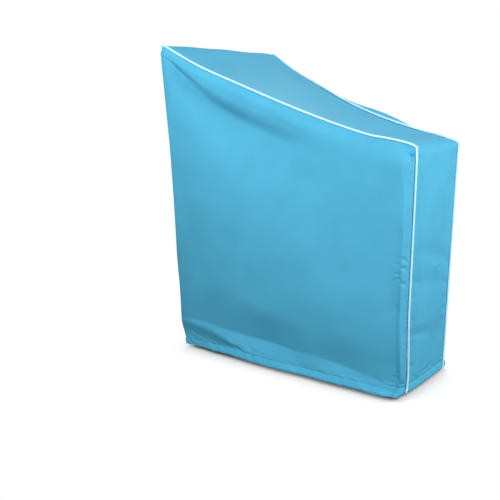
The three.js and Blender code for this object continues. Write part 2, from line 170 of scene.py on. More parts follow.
HEM_DROPS = table(
    "x drop",
    (-1062, 8),
    (-900, 5),
    (-800, 1),
    (-690, 4),
    (-560, 7),
    (-430, 6),
    (-270, 4),
    (-150, 4),
    (-60, 7),
    (0, 0),
)
END_HEM_DROP = -3.0
HEM_DROP_HEIGHT = 400.0

# How the strip rounds the low top corner and is cut short there, stands out at the tall one (a
# cut below zero), turns from face to face, bulges and sags
LOW_CORNER = {"cut": 5.0, "reach": 48.0, "rounds_in": (4.0, 50.0), "ends": 110.0}
TALL_EDGE = {"cut": -4.0, "reach": 40.0}
STRIP_TURN = 36.0
STRIP_END_FACES = (0.6, 0.95)
STRIP_CROWN = 0.8
LOW_BULGE = {"hem": 7.0, "above": 3.0, "height": 600.0}
SAG = {"depth": 7.0, "reach": 120.0}
TALL_BULGE = {"depth": 24.0, "full": 110.0, "fades": (260.0, 950.0), "reach": 160.0, "on_seam": 0.7}

# The roll of a side panel from its shoulder to the top seam
ROLL_TURN = math.radians(52)
CREST_SKEW = 1.4

# Where the main folds of a side fade: at the tall edge from a height on, at the low crease, and
# in the top rows. CREASE_OPENS: shares of the height over which the low crease turns rounder.
CALM = {"tall": 70.0, "heights": (420.0, 800.0), "crease": 6.0, "shoulder": 0.45, "rows": (0.9, 1.0)}
CREASE_OPENS = (0.86, 1.0)
# The low corner of the near hem is set back between these x, below this height
CORNER_BACK = {"x": (-160.0, -10.0), "height": 95.0}

# Folds along a bowed line between two places (a, z) of a face: depths at its start, middle and
# end, positive inward, and the widths of its two slopes at start and end. The ends of a fold are
# rounded over a share of its width.
FOLD_END = 0.6
FOLD = "a0 z0 a1 z1 bow in0 in_mid in1 left0 left1 right0 right1"
NEAR_FOLDS = table(
    FOLD,
    (-1046, 1286, -270, 912, -104, 8, 18, 4, 22, 74, 60, 220),
    (-27, 60, -24, 620, 0, 17, 15, 3, 74, 46, 20, 16),
    (-930, 640, -130, 520, 0, -6, -16, -5, 330, 300, 330, 300),
    (-620, 330, -50, 300, 0, -4, -14, -10, 260, 240, 150, 130),
    # the hem's tall corner hangs further in
    (-1110, 260, -1000, 230, 0, 18, 14, 2, 330, 300, 300, 300),
)
# The same with an upper slope that starts sharply, at its far edge
NEAR_LEDGES = table(
    FOLD,
    (-1046, 1284, -270, 912, -104, 7, 15, 2, 20, 120, 64, 220),
    # dark slope below the wedge, at the tall corner of the hem
    (-1110, 40, -740, 26, 0, 20, 18, 4, 118, 8, 120, 34),
)
# The same with both slopes even and the line between them sharp
NEAR_VALLEYS = table(
    FOLD,
    (-948, 121, -300, 84, -14, 13, 37, 0, 160, 64, 24, 82),
    (-480, 94, -40, 28, 7, 0, 21, 9, 90, 110, 40, 26),
)
FAR_FOLDS = table(
    FOLD,
    (-1040, 1270, -330, 890, -70, 3, 11, 2, 16, 50, 60, 140),
    (-960, 120, -90, 70, 20, 8, 20, 6, 210, 160, 30, 44),
    (-930, 600, -130, 560, 0, -5, -14, -5, 330, 300, 330, 300),
)
LOW_END_FOLDS = table(
    FOLD,
    (-190, 558, 196, 444, 14, 2, 5, 6, 34, 34, 36, 34),
    (-196, 430, 190, 360, 6, 3, 6, 7, 40, 38, 36, 34),
    (-196, 214, 180, 176, 0, 5, 5, 3, 34, 60, 80, 80),
)
TALL_END_FOLDS = table(
    FOLD,
    (-330, 1260, 60, 560, 30, 3, 12, 3, 60, 90, 60, 90),
    (330, 1230, 30, 700, -30, 3, 10, 3, 60, 80, 60, 80),
    (-200, 130, 190, 110, 10, 6, 14, 6, 150, 150, 40, 40),
)

# Creases finer than those folds, in the unrolled face: a is x on the side and runs on round the
# crease towards the seam, with 0 at x = 0
NEAR_CREASES = table(
    FOLD,
    # sharp line out of the tall top corner
    (-1034, 1272, -860, 1130, -2, 2, 4, 1, 4, 12, 6, 20),
    # dark lower edge of the wedge above the hem at the tall end
    (-800, 44, -740, 28, 0, 3, 5, 1, 12, 12, 8, 8),
    (-728, 68, -676, 22, 0, 2, 5, 2, 6, 8, 8, 10),
    (-690, 44, -628, 34, 0, 1, 3, 1, 5, 6, 6, 7),
    (-820, 62, -800, 44, 0, -1, -3, -1, 8, 9, 8, 9),
    # gaps between the gathers of the hem
    (-898, 32, -884, 4, 0, 1, 5, 2, 6, 7, 6, 7),
    (-830, 28, -812, 4, 0, 1, 5, 2, 6, 7, 6, 7),
    (-768, 28, -756, 4, 0, 1, 4, 2, 6, 7, 6, 7),
    (-700, 26, -684, 4, 0, 1, 5, 2, 6, 7, 6, 7),
    (-618, 24, -604, 4, 0, 1, 4, 1, 6, 7, 6, 7),
    # wrinkles at the tall corner of the hem
    (-1050, 74, -1020, 48, 0, 1, 3, 1, 5, 7, 7, 9),
    (-1056, 44, -1034, 22, 0, 1, 3, 1, 5, 6, 6, 7),
    (-1010, 56, -966, 34, 0, 1, 2, 1, 6, 7, 6, 8),
    (-950, 52, -926, 30, 0, 1, 3, 1, 5, 6, 6, 7),
    # stacked wrinkles at the low corner of the hem
    (-56, 42, -20, 50, 0, 1, 4, 2, 5, 5, 4, 5),
    (-62, 28, -4, 38, 0, 1, 5, 5, 5, 7, 4, 5),
    (-60, 35, -28, 40, 0, -1, -2, -1, 4, 5, 4, 5),
    (-34, 20, 2, 28, 0, -1, -3, -1, 4, 5, 4, 5),
    (-60, 14, -14, 13, 0, 1, 3, 2, 5, 6, 4, 5),
    (-34, 70, -10, 66, 0, 2, 5, 3, 9, 10, 8, 9),
    (-22, 92, -4, 92, 0, 1, 3, 1, 6, 7, 6, 7),
    (-130, 54, -84, 40, 0, 1, 3, 1, 6, 8, 6, 8),
    (-290, 42, -150, 38, 0, 0, 2, 1, 6, 7, 6, 7),
    # puckers on the low crease
    (-30, 479, -12, 477, 0, 3, 6, 3, 4, 5, 4, 5),
    (-42, 462, -22, 470, 0, -1, -3, -1, 4, 4, 4, 4),
    (-28, 463, -8, 458, 0, 1, 5, 2, 4, 5, 4, 5),
    (-14, 446, 10, 440, 0, 2, 5, 1, 4, 4, 4, 4),
    (-14, 502, 24, 500, 0, 2, 5, 1, 4, 5, 4, 5),
    (-14, 539, 20, 536, 0, 1, 3, 1, 4, 5, 4, 5),
    (-32, 516, -18, 512, 0, 1, 2, 1, 7, 8, 7, 8),
    (-36, 334, -10, 350, 6, 2, 5, 2, 4, 5, 4, 5),
    (-32, 325, -2, 333, 4, 1, 3, 1, 4, 5, 4, 5),
    (-28, 422, -14, 418, 0, 1, 2, 1, 5, 6, 5, 6),
    # small creases on the band, under the top corner and further down
    (-10, 921, 34, 903, -2, 4, 12, 12, 4, 5, 4, 5),
    (8, 925, 30, 906, 3, 2, 7, 8, 4, 5, 4, 5),
    (12, 892, 42, 884, 0, 1, 4, 3, 4, 4, 4, 4),
    (2, 846, 56, 836, 3, 0, 2, 1, 7, 8, 7, 8),
    (-6, 696, 40, 690, 0, 1, 3, 1, 6, 7, 6, 7),
    (-8, 586, 40, 566, 0, 1, 3, 1, 6, 8, 6, 8),
    (-6, 512, 50, 478, 0, 1, 4, 1, 6, 9, 6, 9),
    (-8, 540, 30, 524, 0, 1, 3, 1, 6, 8, 6, 8),
    (-8, 452, 44, 428, 0, 2, 4, 1, 5, 7, 5, 7),
    (0, 380, 56, 366, 0, 1, 3, 1, 6, 8, 6, 8),
    (0, 346, 50, 338, 0, 1, 3, 1, 6, 8, 6, 8),
    (4, 262, 56, 240, 0, 1, 3, 2, 8, 9, 8, 9),
    (-6, 52, 40, 34, 0, 2, 5, 1, 5, 7, 5, 7),
    (-4, 36, 50, 16, 0, 1, 4, 1, 5, 7, 5, 7),
    # soft hollow beside the piping, lower down
    (52, 20, 50, 600, 0, 2, 3, 1, 9, 9, 9, 9),
)
FAR_CREASES = table(
    FOLD,
    (-1040, 1284, -740, 1060, 0, 3, 5, 1, 7, 24, 9, 36),
    (-980, 150, -660, 60, 8, 3, 5, 2, 20, 26, 6, 16),
    (-560, 110, -260, 36, 0, 2, 4, 2, 16, 20, 8, 12),
    (-860, 900, -420, 760, -12, 2, 6, 2, 40, 60, 40, 60),
    (-90, 500, -46, 480, 0, 1, 4, 2, 7, 8, 7, 8),
    (-84, 330, -40, 350, 0, 1, 3, 2, 7, 8, 7, 8),
    (-250, 60, -205, 6, 0, 1, 3, 1, 6, 7, 6, 8),
    (-610, 54, -570, 4, 0, 1, 3, 1, 6, 7, 6, 8),
    (-110, 70, -60, 10, 0, 2, 5, 2, 7, 8, 8, 9),
)
LOW_END_CREASES = table(
    FOLD,
    # two dark bands, sharper along their lower edges, with a light patch between them
    (60, 508, 170, 448, 0, 0, 3, 4, 24, 26, 14, 14),
    (-186, 438, -70, 408, 0, 2, 3, 1, 9, 14, 12, 18),
    (70, 392, 166, 366, 0, 1, 4, 5, 14, 12, 14, 14),
    (8, 470, 44, 452, 0, -1, -4, -1, 14, 14, 10, 10),
    # line out of the near seam, lower down
    (-180, 226, 10, 190, 0, 3, 4, 1, 9, 24, 16, 20),
    (-150, 258, -40, 244, 0, -1, -2, -1, 8, 10, 6, 8),
    # slanting wrinkles near the hem
    (-120, 30, 20, 58, 0, 1, 4, 1, 6, 9, 9, 10),
    (-110, 40, 16, 72, 0, -1, -4, -1, 7, 10, 5, 6),
    (-160, 62, -120, 40, 0, 1, 3, 1, 6, 7, 6, 7),
    (-140, 30, -90, 14, 0, 1, 3, 1, 5, 6, 5, 6),
    (30, 46, 70, 24, 0, 1, 2, 1, 6, 7, 6, 7),
    (90, 40, 136, 26, 0, 1, 2, 1, 6, 6, 5, 6),
    # puckers along the near seam
    (-190, 372, -140, 366, 0, 2, 4, 1, 6, 8, 6, 8),
    (-190, 455, -150, 444, 0, 2, 3, 1, 6, 8, 6, 8),
    (-188, 282, -146, 276, 0, 2, 3, 1, 6, 8, 6, 8),
    (-186, 190, -140, 176, 0, 2, 3, 1, 7, 9, 7, 9),
    (-186, 110, -130, 84, 0, 2, 4, 1, 7, 9, 7, 9),
    (-188, 905, -120, 880, 0, 2, 3, 1, 8, 12, 8, 12),
    # puckers along the far seam
    (110, 352, 158, 340, 0, 1, 4, 3, 7, 7, 7, 7),
    (104, 318, 156, 300, 0, 1, 4, 3, 7, 7, 7, 7),
    (100, 274, 152, 252, 0, 1, 3, 3, 7, 8, 7, 8),
    (110, 226, 156, 208, 0, 1, 3, 3, 8, 8, 8, 8),
    (126, 20, 134, 330, 0, 3, 8, 3, 18, 18, 12, 12),
    (120, 610, 168, 640, 0, 1, 2, 2, 10, 10, 10, 10),
    (150, 560, 176, 590, 0, 1, 3, 2, 8, 8, 8, 8),
    (80, 760, 186, 800, 0, 1, 2, 1, 26, 18, 26, 18),
)
TALL_END_CREASES = table(
    FOLD,
    (-380, 1296, -120, 1010, 10, 3, 6, 2, 10, 30, 14, 44),
    (380, 1296, 130, 1040, -10, 3, 5, 2, 14, 44, 10, 30),
    (-190, 240, 120, 180, 6, 2, 5, 2, 30, 40, 14, 20),
    (170, 330, -90, 270, 0, 1, 4, 1, 30, 30, 24, 24),
    (-140, 74, -104, 10, 0, 1, 3, 1, 6, 8, 6, 8),
    (60, 70, 98, 8, 0, 1, 3, 1, 6, 8, 6, 8),
)
# On the top, a is y and z stands for x
TOP_CREASES = table(
    FOLD,
    (-370, -1030, -180, -760, 6, 2, 5, 1, 12, 40, 12, 40),
    (372, -1030, 190, -740, -6, 2, 5, 1, 12, 40, 12, 40),
    (-150, -160, 150, -130, 8, 1, 3, 1, 30, 30, 30, 30),
    (-190, -70, -90, -60, 0, 1, 3, 1, 9, 14, 9, 14),
    (186, -64, 80, -56, 0, 1, 3, 1, 9, 14, 9, 14),
)

# What differs between the sides: places and half widths in mm, how strongly the hem is gathered
# and flared along x, the folds with the profiles of their two slopes, and the creases
NEAR = {
    "sign": -1, "hem_half": 261.0, "crease_hem_x": 5.0, "crease_x": -3.0, "low_round": 5.0,
    "low_round_top": 22.0, "corner_back": 18.0,
    "low_seam_hem": 196.0, "low_pinch": 0.0, "tall_seam_hem": 196.0,
    "gathers": (2.2, 0.6), "gathers_fade": (-640, -580), "flare_from": (-985, -905), "flare_low": 0.4,
    "shoulder": NEAR_SHOULDER, "creases": NEAR_CREASES,
    "folds": [(NEAR_FOLDS, (soft, soft)), (NEAR_LEDGES, (ledge, soft)), (NEAR_VALLEYS, (even, even))],
}
FAR = {
    "sign": 1, "hem_half": 237.0, "crease_hem_x": -42.0, "crease_x": -42.0, "low_round": 22.0,
    "low_round_top": 36.0, "corner_back": 0.0,
    "low_seam_hem": 156.0, "low_pinch": 34.0, "tall_seam_hem": 180.0,
    "gathers": (0.8, 0.3), "gathers_fade": (-700, -300), "flare_from": (-1000, -920), "flare_low": 1.0,
    "shoulder": FAR_SHOULDER, "creases": FAR_CREASES, "folds": [(FAR_FOLDS, (soft, soft))],
}

# Sewing and handling leave the cloth uneven: heights in mm, and how far each effect reaches
PUCKER = {"hem": 1.2, "above": 11.0, "below": 33.0, "seam": 1.0, "seam_reach": 24.0, "top_seam": 0.3}
PUCKER_SLANT = 0.3
PUCKER_FADE = {"height": 900.0, "share": 0.5}
# The tall seams take the ripple of their side from another place on
TALL_RIPPLE_FROM = 300.0
GROOVE = {"hem": 1.9, "hem_width": 3.2, "seam": 0.9, "seam_width": 5.0}
FLARE = {
    "hem": 14.0, "full_at": 0.72, "eased": 0.3, "low_fade": (-95, -35), "strip": 0.5,
    "tall_corner": 20.0, "tall_height": 330.0, "tucked": 0.755,
}
STRIP_GATHERS = 0.35
BAND_PUCKER = {"depth": 0.6, "slant": 0.4, "past_crease": 18.0, "from_seam": (3, 14)}
HANDLING = {"broad": 1.6, "small": 0.16}
CORD_UNEVEN = 0.025
CORD_EVENED_OVER = 9
# Distances from a seam over which those effects set in
SETS_IN = {"hem": (2, 26), "handling": (4, 60), "creases": (1, 12)}
# Shortest and longest length in mm, and number, of the waves in each ripple or surface
HEM_RIPPLE = (24, 38, 4)
SEAM_RIPPLE = (13, 30, 5)
BAND_RIPPLE = (18, 40, 6)
CORD_RIPPLE = (9, 28, 6)
BROAD_WAVES = (180, 480, 12)
SMALL_WAVES = (24, 90, 22)

# Columns of a side panel in each of its zones, and x on the top seam where the zones meet
ZONES = {"tall_band": 14, "tall_corner": 8, "side": 150, "low_corner": 8, "low_band": 14}
ZONE_ENDS = (TALL_X, -1044.0, -1031.0, -96.0, -52.0, LOW_SEAM_X - LOW_ROUND_X)
LOW_BAND_SKEW = 0.8
SIDE_CROWDING = 0.4 / (2 * math.pi)
SIDE_FIRST = ZONES["tall_band"] + ZONES["tall_corner"]
SIDE_LAST = SIDE_FIRST + ZONES["side"]
# Rows from hem to shoulder, as shares of that way: closer together at the hem and round the
# puckers of the low crease
MAIN_ROWS = 200
SOME_ROWS = (0, 26, 62, 86, 122, 150, MAIN_ROWS)
UP_PANEL = np.interp(np.arange(MAIN_ROWS + 1), SOME_ROWS, (0, 0.05, 0.25, 0.47, 0.64, 0.86, 1))
ROLL_ROWS = 28
STRIP_COLUMNS = 64
STRIP_CROWDING = 0.06
CORD_SIDES = 16

top_height = through(TOP, "height")
top_half = through(TOP, "half")
side_hem_drop = through(HEM_DROPS, "drop")


def depth(folds, a, z, profiles=(soft, soft)):
    """Depth of all folds of a face at places on it."""
    total = np.zeros(np.broadcast(a, z).shape)
    for row in zip(*folds.values()):
        fold = dict(zip(folds, row))
        run_a, run_z = fold["a1"] - fold["a0"], fold["z1"] - fold["z0"]
        length = math.hypot(run_a, run_z)
        way_a, way_z = run_a / length, run_z / length
        from_a, from_z = a - fold["a0"], z - fold["z0"]
        s = (from_a * way_a + from_z * way_z) / length
        t = np.clip(s, 0, 1)
        side = from_z * way_a - from_a * way_z - 4 * fold["bow"] * t * (1 - t)
        left = lerp(fold["left0"], fold["left1"], t)
        right = lerp(fold["right0"], fold["right1"], t)
        r = np.abs(side) / np.where(side > 0, left, right)
        shape = np.where(side > 0, profiles[0](r), profiles[1](r))
        early = lerp(fold["in0"], fold["in_mid"], smoothstep(t, 0, 0.5))
        late = lerp(fold["in_mid"], fold["in1"], smoothstep(t, 0.5, 1))
        end = FOLD_END * lerp(left, right, smoothstep(-side, 0, right))
        total += np.where(t < 0.5, early, late) * shape * soft((s - t) * length / end)
    return total


def hangs(z):
    """How much of the hem's drop is left at height z."""
    return (1 - np.clip(z / HEM_DROP_HEIGHT, 0, 1)) ** 4


def tall_bulge(z):
    """How far the tall end stands out at height z."""
    fades = 1 - smoothstep(z, *TALL_BULGE["fades"])
    return TALL_BULGE["depth"] * smoothstep(z, 0, TALL_BULGE["full"]) * fades


def waves(a, z, shortest, longest, count):
    """A smooth uneven surface, about 1 high: waves of several ways and lengths, long ones higher."""
    lengths = np.exp(rng.uniform(math.log(shortest), math.log(longest), count))
    turns = rng.uniform(0, math.pi, count)
    starts = rng.uniform(0, 2 * math.pi, count)
    high = (lengths / longest) ** 0.8 * 1.4 / math.sqrt(count)
    k = 2 * math.pi / lengths
    parts = zip(k * np.cos(turns), k * np.sin(turns), starts, high)
    return sum(top * np.sin(ka * a + kz * z + start) for ka, kz, start, top in parts)


def ripple(shortest, longest, count):
    """An uneven ripple along one coordinate, about 1 high, as sewing leaves it."""
    ks = 2 * math.pi / rng.uniform(shortest, longest, count)
    starts = rng.uniform(0, 2 * math.pi, count)
    return lambda s: sum(np.sin(k * s + start) for k, start in zip(ks, starts)) / math.sqrt(count)


def low_seam(side, z):
    """Seam up the low end, at height z."""
    top = top_height(0.0)
    share = np.clip(z / top, 0, 1)
    pinch = side["low_pinch"] * np.sin(math.pi * share) ** 2
    x = LOW_SEAM_X - LOW_ROUND_X * smoothstep(z, top - LOW_ROUND, top) ** 2
    return x, lerp(side["low_seam_hem"], top_half(0.0), share) - pinch


def tall_seam(side, z):
    """Seam up the tall end, at height z."""
    share = np.clip(z / top_height(TALL_X), 0, 1)
    x = lerp(TALL_HEM_X, TALL_X, share) - TALL_BULGE["on_seam"] * tall_bulge(z)
    return x, lerp(side["tall_seam_hem"], top_half(TALL_X), share)


def zone_columns(zone, steps):
    """The columns of a zone, which on the side lie closer together towards both ends."""
    by = SIDE_CROWDING if zone == "side" else 0.0
    return [(zone, crowded(i / steps, by)) for i in range(steps)]


COLUMNS = [column for zone, steps in ZONES.items() for column in zone_columns(zone, steps)]
COLUMNS.append(("low_band", 1.0))


def toward(p, q, distance):
    return p + distance * unit(q - p)


def round_corner(before, corner, after, t):
    return (1 - t) ** 2 * before + 2 * t * (1 - t) * corner + t * t * after


def plan(column, ends, low_round, half_at):
    """Plan of a side panel at its hem or its shoulder: x and half width for one column.

    ends holds the tall seam, the tall corner, the low corner and the low seam there."""
    zone, t = column
    tall_seam_at, tall_corner, low_corner, low_seam_at = np.array(ends)
    leave_tall, meet_low = tall_corner[0] + TALL_ROUND, low_corner[0] - low_round
    tall_meet = toward(tall_corner, tall_seam_at, TALL_ROUND_BACK)
    low_leave = toward(low_corner, low_seam_at, low_round)

    def on_side(x):
        return np.array([x, half_at(x)])

    if zone == "tall_band":
        return lerp(tall_seam_at, tall_meet, t)
    if zone == "tall_corner":
        return round_corner(tall_meet, tall_corner, on_side(leave_tall), t)
    if zone == "side":
        return on_side(lerp(leave_tall, meet_low, t))
    if zone == "low_corner":
        return round_corner(on_side(meet_low), low_corner, low_leave, t)
    return lerp(low_leave, low_seam_at, t)


def top_seam_x(column):
    """Where one column of a side panel meets the top seam."""
    zone, t = column
    place = list(ZONES).index(zone)
    start, end = ZONE_ENDS[place:place + 2]
    return lerp(start, end, t ** LOW_BAND_SKEW if zone == "low_band" else t)


def hanging_line(side, column, x, half, height):
    """One column of a side panel from its hem to its shoulder, with the main folds."""
    zone, t = column
    back = smoothstep(x, *CORNER_BACK["x"]) * (1 - smoothstep(height, 0, CORNER_BACK["height"]))
    x = x - side["corner_back"] * (1 - t if zone == "low_band" else 1.0) * back
    z = height - hangs(height) * side_hem_drop(x)
    crease_x = lerp(side["crease_hem_x"], side["crease_x"], UP_PANEL)
    calm = smoothstep(z, *CALM["heights"])
    shown = lerp(1, smoothstep(x, TALL_HEM_X, TALL_HEM_X + CALM["tall"]), calm)
    shown = shown * (t if zone == "tall_band" else 1.0)
    shown = shown * (1 - smoothstep(x - crease_x, -CALM["crease"], 0))
    shown = shown * lerp(1, CALM["shoulder"], smoothstep(UP_PANEL, *CALM["rows"]))
    inward = shown * sum(depth(folds, x, z, profiles) for folds, profiles in side["folds"])
    flare = FLARE["tall_corner"] * (1 - np.clip(z / FLARE["tall_height"], 0, 1)) ** 1.5
    flare = flare + FLARE["tucked"] * np.clip(inward, 0, None) * (1 - calm)
    at_tall = 1 - smoothstep(x, TALL_HEM_X, TALL_HEM_X + TALL_BULGE["reach"])
    x = x - (tall_bulge(z) + flare) * at_tall
    return np.stack([x, side["sign"] * (half - inward), z], 1)


def rolled_line(start, seam, crest):
    """One column of a side panel from its shoulder on, rolled over a crest to the top seam."""
    roll = np.arange(1, ROLL_ROWS + 1) / ROLL_ROWS
    inward = (1 - np.cos(roll * ROLL_TURN)) / (1 - math.cos(ROLL_TURN))
    upward = np.sin(roll * ROLL_TURN) / math.sin(ROLL_TURN)
    line = start + (seam - start) * inward[:, None]
    line[:, 2] = lerp(start[2], seam[2], upward) + crest * np.sin(math.pi * roll ** CREST_SKEW)
    return line


def side_panel_grid(side):
    """Middle surface of a side panel, column by column from the hem to the top seam."""
    out, drop, crest = (through(side["shoulder"], key) for key in ("out", "drop", "crest"))

    def shoulder_half(x):
        return top_half(x) + out(x)

    hem_ends = [
        (TALL_HEM_X, side["tall_seam_hem"]), (TALL_CORNER_X, side["hem_half"]),
        (side["crease_hem_x"], side["hem_half"]), (LOW_SEAM_X, side["low_seam_hem"]),
    ]
    shoulder_ends = [
        tall_seam(side, top_height(TALL_X) - drop(TALL_X)),
        (TALL_X - SHOULDER_OUT_X, shoulder_half(TALL_X)),
        (side["crease_x"], min(side["hem_half"], shoulder_half(side["crease_x"]))),
        low_seam(side, top_height(0.0) - drop(0.0)),
    ]
    opens = smoothstep(UP_PANEL, *CREASE_OPENS)[:, None]
    grid = []
    for column in COLUMNS:
        hem = plan(column, hem_ends, side["low_round"], lambda x: side["hem_half"])
        sharp = plan(column, shoulder_ends, side["low_round"], shoulder_half)
        opened = plan(column, shoulder_ends, side["low_round_top"], shoulder_half)
        shoulder = lerp(sharp, opened, opens)
        x, half = lerp(hem, shoulder, UP_PANEL[:, None]).T
        seam_x = top_seam_x(column)
        seam = np.array([seam_x, side["sign"] * top_half(seam_x), top_height(seam_x)])
        main = hanging_line(side, column, x, half, UP_PANEL * (seam[2] - drop(seam_x)))
        grid.append(np.concatenate([main, rolled_line(main[-1], seam, crest(seam_x))]))
    return np.array(grid)


def grid_normals(grid, facing):
    """Normals of a grid of points, turned to the outside of the cover."""
    return facing * unit(np.cross(np.gradient(grid, axis=0), np.gradient(grid, axis=1)))


def lengths_along(points, axis=0):
    """Distance of each point from the start of its line, for one line or a grid of them."""
    steps = np.linalg.norm(np.diff(points, axis=axis), axis=-1)
    start = np.zeros_like(np.take(steps, [0], axis=axis))
    return np.concatenate([start, np.cumsum(steps, axis=axis)], axis=axis)


def unrolled(grid):
    """Coordinate a of each point of a side panel: x on the side, then on round its two bands."""
    along = lengths_along(grid)
    a = grid[:, :, 0].copy()
    a[:SIDE_FIRST] = grid[SIDE_FIRST, :, 0] - (along[SIDE_FIRST] - along[:SIDE_FIRST])
    a[SIDE_LAST:] = grid[SIDE_LAST, :, 0] + (along[SIDE_LAST:] - along[SIDE_LAST])
    return a


def stitched_hem(above, wave, flared):
    """Lift of the cloth at a height above the hem's edge, with the wave of its gathers there."""
    from_row = above - HEM_HEIGHT
    reach = np.where(from_row > 0, PUCKER["above"], PUCKER["below"])
    down = np.clip(1 - above / HEM_HEIGHT, 0, 1)
    eased = FLARE["eased"] * np.clip(down - FLARE["full_at"], 0, 1)
    flare = FLARE["hem"] * (np.minimum(down / FLARE["full_at"], 1) - eased)
    pucker = PUCKER["hem"] * wave * soft(from_row / reach)
    return pucker - GROOVE["hem"] * soft(from_row / GROOVE["hem_width"]) + flared * flare


def sewn_seam(away, wave, strength):
    """Lift of the cloth at a distance from a piped seam."""
    groove = soft(away / GROOVE["seam_width"])
    pucker = strength * wave * soft(away / PUCKER["seam_reach"])
    return pucker * (1 - groove) - GROOVE["seam"] * groove


def end_pucker(z):
    """Strength of the puckers along the seams of both ends, less higher up."""
    higher = np.clip(z / PUCKER_FADE["height"], 0, 1)
    return lerp(PUCKER["seam"], PUCKER_FADE["share"] * PUCKER["seam"], higher)


def handled(from_edges, a, z):
    """Lift of the cloth from handling, away from the seams and edges."""
    broad = HANDLING["broad"] * waves(a, z, *BROAD_WAVES)
    small = HANDLING["small"] * waves(a, z, *SMALL_WAVES)
    return smoothstep(from_edges, *SETS_IN["handling"]) * (broad + small)


def hem_phase(a, up):
    """The hem's ripples run down towards the low end, at about 30 degrees."""
    return 0.5 * a + 0.9 * up


def finish_side_panel(grid, side):
    """The fine shape of a side panel on top of its main folds, with its coordinates a and up."""
    a, z = unrolled(grid), grid[:, :, 2]
    up = lengths_along(grid, 1)
    from_tall = lengths_along(grid)
    from_low = from_tall[-1] - from_tall
    from_top = up[:, -1:] - up
    from_side = np.minimum(from_low, from_tall)
    nearest = np.minimum(from_side, from_top)
    hem_ripple = ripple(*HEM_RIPPLE)
    seam_ripple = ripple(*SEAM_RIPPLE)
    band_ripple = ripple(*BAND_RIPPLE)
    gathers = lerp(*side["gathers"], smoothstep(a, *side["gathers_fade"])) * hem_ripple(hem_phase(a, up))
    flared = lerp(1.0, side["flare_low"], smoothstep(a, *FLARE["low_fade"]))
    flared = flared * smoothstep(a, *side["flare_from"])
    past_crease = smoothstep(a, side["crease_x"], side["crease_x"] + BAND_PUCKER["past_crease"])
    on_band = past_crease * smoothstep(from_low, *BAND_PUCKER["from_seam"])
    lift = smoothstep(from_side, *SETS_IN["hem"]) * stitched_hem(up, gathers, flared)
    lift += sewn_seam(from_top, seam_ripple(a), PUCKER["top_seam"])
    lift += sewn_seam(from_low, seam_ripple(z + PUCKER_SLANT * a), end_pucker(z))
    lift += sewn_seam(from_tall, seam_ripple(z + TALL_RIPPLE_FROM), end_pucker(z))
    lift += on_band * BAND_PUCKER["depth"] * band_ripple(z + BAND_PUCKER["slant"] * a)
    lift += handled(nearest, a, z)
    lift -= smoothstep(nearest, *SETS_IN["creases"]) * depth(side["creases"], a, z)
    return grid + grid_normals(grid, -side["sign"]) * lift[:, :, None], a, up


def seam_line(grid):
    """Seam of a side, from the hem of the low end over the top to the hem of the tall end."""
    return np.concatenate([grid[-1], grid[-2:0:-1, -1], grid[0, ::-1]])


def strip_grid(near_seam, far_seam):
    """Middle surface of the strip, row by row along the seams, with its way outward by row."""
    steps = np.gradient(near_seam, axis=0)
    at = lengths_along(near_seam)
    around = soft((at[:, None] - at) / STRIP_TURN)
    around /= around.sum(1, keepdims=True)
    outward = unit(around @ np.stack([steps[:, 2], np.zeros(len(steps)), -steps[:, 0]], 1))
    share = crowded(np.arange(STRIP_COLUMNS + 1) / STRIP_COLUMNS, STRIP_CROWDING)
    width = far_seam - near_seam
    grid = near_seam[:, None] + width[:, None] * share[None, :, None]
    from_corner = np.hypot(grid[:, :, 0], grid[:, :, 2] - top_height(0.0))
    from_edges = np.minimum(share, 1 - share) * np.linalg.norm(width, axis=1)[:, None]
    rounded = smoothstep(from_edges, *LOW_CORNER["rounds_in"])
    rounded = rounded * soft(from_corner / LOW_CORNER["ends"])
    rounder = np.einsum("ij,jkc->ikc", around, grid)
    return grid + (rounder - grid) * rounded[:, :, None], outward, share


def finish_strip(grid, outward, share):
    """The strip with its folds and fine shape, and each point's places across, along and up."""
    x, y, z = np.moveaxis(grid, 2, 0)
    from_corner = np.hypot(x, z - top_height(0.0))
    from_edge = np.hypot(x - TALL_X, z - top_height(TALL_X))
    low = smoothstep(outward[:, 0], *STRIP_END_FACES)[:, None]
    tall = smoothstep(-outward[:, 0], *STRIP_END_FACES)[:, None]
    top = 1 - low - tall
    bulge = lerp(LOW_BULGE["hem"], LOW_BULGE["above"], np.clip(z / LOW_BULGE["height"], 0, 1))
    sag = SAG["depth"] * (1 - soft(from_corner / SAG["reach"])) * (1 - soft(from_edge / SAG["reach"]))
    cut = LOW_CORNER["cut"] * soft(from_corner / LOW_CORNER["reach"])
    cut = cut + TALL_EDGE["cut"] * soft(from_edge / TALL_EDGE["reach"])
    lift = low * (bulge - depth(LOW_END_FOLDS, y, z)) - tall * depth(TALL_END_FOLDS, y, z)
    lift = np.sin(math.pi * share) ** STRIP_CROWN * (lift - top * sag - cut)

    along, across = lengths_along(grid), lengths_along(grid, 1)
    from_seam = np.minimum(across, across[:, -1:] - across)
    up = np.minimum(along, along[-1:] - along)
    seam_ripple = ripple(*SEAM_RIPPLE)
    gathers = STRIP_GATHERS * ripple(*HEM_RIPPLE)(hem_phase(y, up))
    strength = lerp(end_pucker(z), PUCKER["top_seam"], top)
    creases = low * depth(LOW_END_CREASES, y, z) + tall * depth(TALL_END_CREASES, y, z)
    creases = creases + top * depth(TOP_CREASES, y, x)
    lift += smoothstep(from_seam, *SETS_IN["hem"]) * stitched_hem(up, gathers, FLARE["strip"])
    lift += sewn_seam(from_seam, seam_ripple(along + PUCKER_SLANT * y), strength)
    lift += handled(from_seam, y, along)
    lift -= smoothstep(from_seam, *SETS_IN["creases"]) * creases
    fallen = grid.copy()
    fallen[:, :, 2] -= low * hangs(z) * END_HEM_DROP * np.sin(math.pi * share)
    return fallen + outward[:, None] * lift[:, :, None], across, along, up


